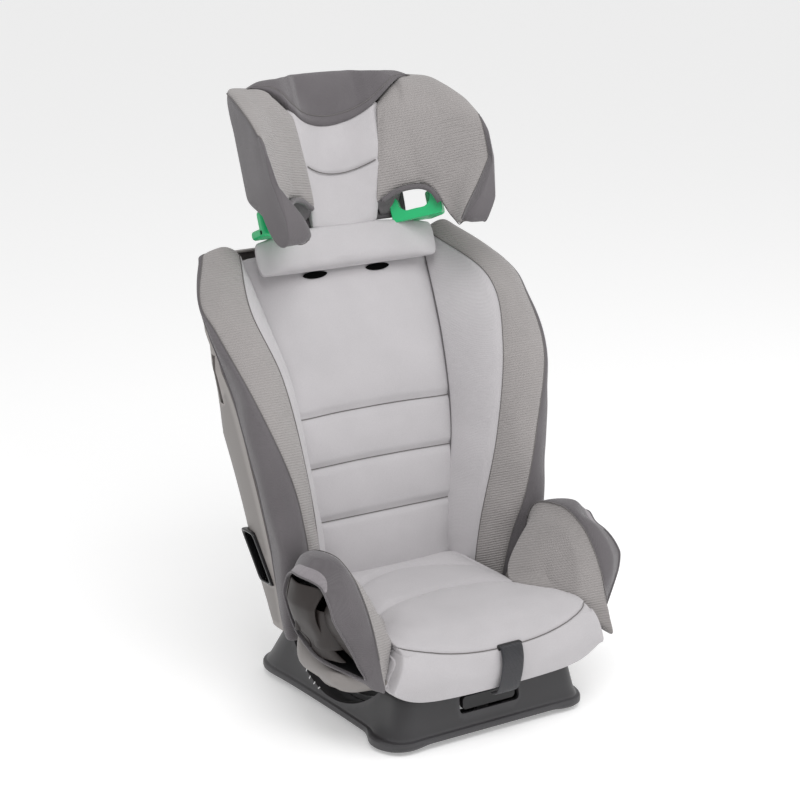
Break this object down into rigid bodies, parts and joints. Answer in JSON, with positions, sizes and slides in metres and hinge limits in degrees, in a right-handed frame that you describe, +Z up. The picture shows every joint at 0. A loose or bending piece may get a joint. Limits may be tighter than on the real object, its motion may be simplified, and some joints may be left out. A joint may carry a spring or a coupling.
{
  "type": "convertible car seat",
  "caption": "High-back child car seat with a reclining padded seat on a low plastic base, a sliding winged headrest, green belt guides and fold-away cup holders.",
  "frame": {"origin": "on the floor under the middle of the bounding box", "axes": "+Z up, the child faces -Y, +X to the right when looking at the front of the seat"},
  "size_m": [0.514, 0.5346, 0.8212],
  "materials": {
    "base_plastic": "moulded charcoal plastic, fine grain",
    "shell_plastic": "moulded warm grey plastic, smooth",
    "black_plastic": "black moulded plastic",
    "gloss_black": "glossy black plastic",
    "cup_plastic": "dark brown-grey plastic, soft sheen",
    "guide_green": "bright green plastic, satin",
    "button_red": "red plastic",
    "steel": "zinc plated steel",
    "rubber": "matt black rubber",
    "fabric_light": "light grey knit over foam",
    "fabric_mid": "mid grey ribbed knit over foam",
    "fabric_dark": "dark grey woven fabric over foam",
    "webbing": "charcoal woven webbing"
  },
  "bodies": {
    "base": {"base_shell": "base_plastic", "base_plate": "base_plastic", "track_left": "steel", "track_right": "steel", "foot_front_left": "rubber", "plate_screw_front_left": "steel", "foot_front_right": "rubber", "plate_screw_front_right": "steel", "foot_rear_left": "rubber", "plate_screw_rear_left": "steel", "foot_rear_right": "rubber", "plate_screw_rear_right": "steel"},
    "seat": {"seat_shell": "shell_plastic", "seat_cushion": "fabric_light", "runner_left": "black_plastic", "runner_right": "black_plastic", "recline_rack": "steel", "back_shell": "shell_plastic", "back_pad": "fabric_light", "side_wing_left": "fabric_dark", "side_wing_right": "fabric_dark", "belt_frame_left": "gloss_black", "belt_frame_right": "gloss_black", "headrest_guide_left": "black_plastic", "headrest_guide_right": "black_plastic", "headrest_rack": "steel", "adjuster_strap": "webbing", "adjuster_housing": "black_plastic", "buckle_body": "black_plastic", "crotch_strap": "webbing", "splitter_plate": "steel", "shoulder_strap_left": "webbing", "shoulder_strap_right": "webbing", "arm_left": "fabric_dark", "arm_right": "fabric_dark", "cup_pocket_left": "cup_plastic", "cup_pocket_right": "cup_plastic", "cup_pin_left": "steel", "cup_pin_right": "steel"},
    "headrest": {"headrest_shell": "fabric_dark", "headrest_stem": "black_plastic", "headrest_pad": "fabric_light", "headrest_wing_left": "fabric_mid", "headrest_wing_right": "fabric_mid", "neck_pad": "fabric_light", "harness_guide": "black_plastic", "belt_guide_left": "guide_green", "belt_guide_right": "guide_green"},
    "adjuster_lever": {"adjuster_lever": "steel"},
    "buckle_button": {"buckle_button": "button_red"},
    "cup_holder_left": {"cup_holder_left": "cup_plastic"},
    "cup_holder_right": {"cup_holder_right": "cup_plastic"},
    "headrest_lock_pin": {"headrest_lock_pin": "steel"},
    "headrest_release": {"headrest_release": "black_plastic"},
    "recline_bolt": {"recline_bolt": "steel"},
    "recline_handle": {"recline_handle": "black_plastic"}
  },
  "joints": [
    {"name": "recline", "type": "hinge", "parent": "base", "child": "seat", "pos_m": [0, -0.05285, 0.178], "axis": [-1, 0, 0], "range_deg": [0, 12]},
    {"name": "headrest_height", "type": "slide", "parent": "seat", "child": "headrest", "axis": [0, 0.3584, 0.9336], "range_m": [-0.16, 0]},
    {"name": "headrest_release_squeeze", "type": "slide", "parent": "headrest", "child": "headrest_release", "axis": [0, 0.3584, 0.9336], "range_m": [0, 0.008]},
    {"name": "headrest_pin_draw", "type": "slide", "parent": "headrest", "child": "headrest_lock_pin", "axis": [0, -0.9336, 0.3584], "range_m": [0, 0.004]},
    {"name": "recline_handle_pull", "type": "slide", "parent": "base", "child": "recline_handle", "axis": [0, -1, 0], "range_m": [0, 0.012]},
    {"name": "recline_bolt_draw", "type": "slide", "parent": "base", "child": "recline_bolt", "axis": [0, 0, -1], "range_m": [0, 0.008]},
    {"name": "adjuster_lever_press", "type": "hinge", "parent": "seat", "child": "adjuster_lever", "pos_m": [0, -0.20985, 0.13], "axis": [1, 0, 0], "range_deg": [0, 9]},
    {"name": "buckle_button_press", "type": "slide", "parent": "seat", "child": "buckle_button", "axis": [0, 1, 0], "range_m": [0, 0.005]},
    {"name": "cup_holder_swing_right", "type": "hinge", "parent": "seat", "child": "cup_holder_right", "pos_m": [0.23, -0.11285, 0.168], "axis": [0, 0, 1], "range_deg": [0, 85]},
    {"name": "cup_holder_swing_left", "type": "hinge", "parent": "seat", "child": "cup_holder_left", "pos_m": [-0.23, -0.11285, 0.168], "axis": [0, 0, -1], "range_deg": [0, 85]}
  ],
  "couplings": [
    {"joint": "headrest_pin_draw", "follows": "headrest_release_squeeze", "ratio": 0.5},
    {"joint": "recline_bolt_draw", "follows": "recline_handle_pull", "ratio": 0.66}
  ]
}
